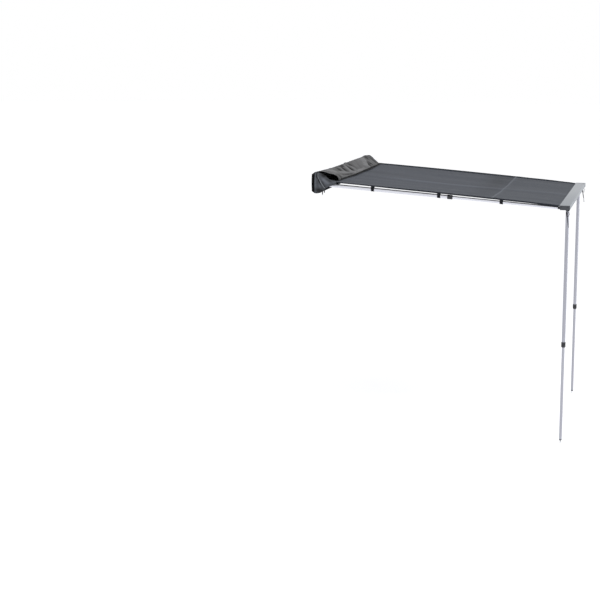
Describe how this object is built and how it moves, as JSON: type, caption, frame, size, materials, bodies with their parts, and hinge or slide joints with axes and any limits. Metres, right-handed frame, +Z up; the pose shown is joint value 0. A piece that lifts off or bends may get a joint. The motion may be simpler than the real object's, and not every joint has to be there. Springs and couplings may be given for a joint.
{
  "type": "vehicle side awning",
  "caption": "Roll-out side awning for a roof rack: cloth from a slotted backboard to a front bar on telescoping rafters and legs, with a zipped soft cover.",
  "frame": {"origin": "middle of the backboard's rear face, halfway along the awning", "axes": "+X along the vehicle, from the awning's left end to its right as seen from outside; -Y out from the vehicle, along the rafters; +Z up"},
  "size_m": [2.1294, 2.0818, 2.0977],
  "materials": {
    "extrusion": "satin anodised, fine lengthwise drawing lines",
    "tube": "clear anodised drawn tube",
    "moulding": "fine-grained black glass-filled nylon",
    "steel": "zinc plated",
    "bracket": "black powder coat",
    "canopy_cloth": "slate grey coated canvas, plain weave",
    "cover_cloth": "dark grey coated heavy cloth",
    "webbing": "black woven webbing",
    "cord": "dark braided cord"
  },
  "bodies": {
    "case": {"backboard": "extrusion", "canopy": "canopy_cloth", "cover_top_flap": "cover_cloth", "cover_bottom_panel": "cover_cloth", "left_case_cap": "moulding", "left_cover_end": "cover_cloth", "left_rack_bracket": "bracket", "left_upper_t_bolt": "steel", "left_lower_t_bolt": "steel", "left_strap_1": "webbing", "left_strap_2": "webbing", "left_strap_3": "webbing", "right_case_cap": "moulding", "right_cover_end": "cover_cloth", "right_rack_bracket": "bracket", "right_upper_t_bolt": "steel", "right_lower_t_bolt": "steel", "right_strap_1": "webbing", "right_strap_2": "webbing", "right_strap_3": "webbing", "left_rafter_pin": "steel", "left_rafter_bracket": "bracket", "right_rafter_pin": "steel", "right_rafter_bracket": "bracket"},
    "zip_slider": {"cover_zip_slider": "moulding"},
    "front_bar": {"front_bar": "extrusion", "left_bar_cap": "moulding", "left_tip_receiver": "bracket", "left_guy_cord": "cord", "left_guy_runner": "moulding", "right_bar_cap": "moulding", "right_tip_receiver": "bracket", "right_guy_cord": "cord", "right_guy_runner": "moulding", "left_leg_pin": "steel", "left_leg_bracket": "bracket", "right_leg_pin": "steel", "right_leg_bracket": "bracket"},
    "left_rafter_outer": {"left_rafter_knuckle": "moulding", "left_rafter_outer_tube": "tube"},
    "left_rafter_inner": {"left_rafter_inner_tube": "tube", "left_rafter_tip": "moulding"},
    "left_rafter_lock": {"left_rafter_lock_collar": "moulding"},
    "right_rafter_outer": {"right_rafter_knuckle": "moulding", "right_rafter_outer_tube": "tube"},
    "right_rafter_inner": {"right_rafter_inner_tube": "tube", "right_rafter_tip": "moulding"},
    "right_rafter_lock": {"right_rafter_lock_collar": "moulding"},
    "left_leg_upper": {"left_leg_knuckle": "moulding", "left_leg_upper_tube": "tube"},
    "left_leg_lower": {"left_leg_lower_tube": "tube", "left_leg_foot": "moulding"},
    "left_leg_lock": {"left_leg_lock_collar": "moulding"},
    "right_leg_upper": {"right_leg_knuckle": "moulding", "right_leg_upper_tube": "tube"},
    "right_leg_lower": {"right_leg_lower_tube": "tube", "right_leg_foot": "moulding"},
    "right_leg_lock": {"right_leg_lock_collar": "moulding"}
  },
  "joints": [
    {"name": "bar_slide", "type": "slide", "parent": "case", "child": "front_bar", "axis": [0, 0.9975, 0.0701], "range_m": [0, 0.76], "deforming": ["canopy", "left_strap_1", "left_strap_2", "left_strap_3", "right_strap_1", "right_strap_2", "right_strap_3"]},
    {"name": "left_rafter_swing", "type": "hinge", "parent": "case", "child": "left_rafter_outer", "pos_m": [-0.98, -0.04202, 0], "axis": [0, -0.0701, 0.9975], "range_deg": [0, 90], "deforming": ["left_strap_1", "left_strap_2", "left_strap_3"]},
    {"name": "right_rafter_swing", "type": "hinge", "parent": "case", "child": "right_rafter_outer", "pos_m": [0.98, -0.07454, -0.00229], "axis": [0, 0.0701, -0.9975], "range_deg": [0, 90], "deforming": ["right_strap_1", "right_strap_2", "right_strap_3"]},
    {"name": "left_rafter_slide", "type": "slide", "parent": "left_rafter_outer", "child": "left_rafter_inner", "axis": [0, 0.9975, 0.0701], "range_m": [0, 0.76]},
    {"name": "right_rafter_slide", "type": "slide", "parent": "right_rafter_outer", "child": "right_rafter_inner", "axis": [0, 0.9975, 0.0701], "range_m": [0, 0.76]},
    {"name": "left_rafter_twist_lock", "type": "hinge", "parent": "left_rafter_outer", "child": "left_rafter_lock", "pos_m": [-0.98, -0.04202, 0], "axis": [0, 0.9975, 0.0701], "range_deg": [0, 120]},
    {"name": "right_rafter_twist_lock", "type": "hinge", "parent": "right_rafter_outer", "child": "right_rafter_lock", "pos_m": [0.98, -0.07454, -0.00229], "axis": [0, 0.9975, 0.0701], "range_deg": [0, 120]},
    {"name": "left_leg_swing", "type": "hinge", "parent": "front_bar", "child": "left_leg_upper", "pos_m": [-0.945, -1.97976, -0.133], "axis": [0, -1, 0], "range_deg": [0, 90]},
    {"name": "right_leg_swing", "type": "hinge", "parent": "front_bar", "child": "right_leg_upper", "pos_m": [0.945, -1.94724, -0.133], "axis": [0, 1, 0], "range_deg": [0, 90]},
    {"name": "left_leg_slide", "type": "slide", "parent": "left_leg_upper", "child": "left_leg_lower", "axis": [0, 0, 1], "range_m": [-0.2, 0.7]},
    {"name": "right_leg_slide", "type": "slide", "parent": "right_leg_upper", "child": "right_leg_lower", "axis": [0, 0, 1], "range_m": [-0.2, 0.7]},
    {"name": "left_leg_twist_lock", "type": "hinge", "parent": "left_leg_upper", "child": "left_leg_lock", "pos_m": [-0.945, -1.97976, -0.133], "axis": [0, 0, 1], "range_deg": [0, 120]},
    {"name": "right_leg_twist_lock", "type": "hinge", "parent": "right_leg_upper", "child": "right_leg_lock", "pos_m": [0.945, -1.94724, -0.133], "axis": [0, 0, 1], "range_deg": [0, 120]},
    {"name": "zip_slide", "type": "slide", "parent": "case", "child": "zip_slider", "axis": [1, 0, 0], "range_m": [0, 1.9]}
  ],
  "couplings": [
    {"joint": "left_rafter_slide", "follows": "bar_slide", "ratio": 1},
    {"joint": "right_rafter_slide", "follows": "bar_slide", "ratio": 1}
  ]
}
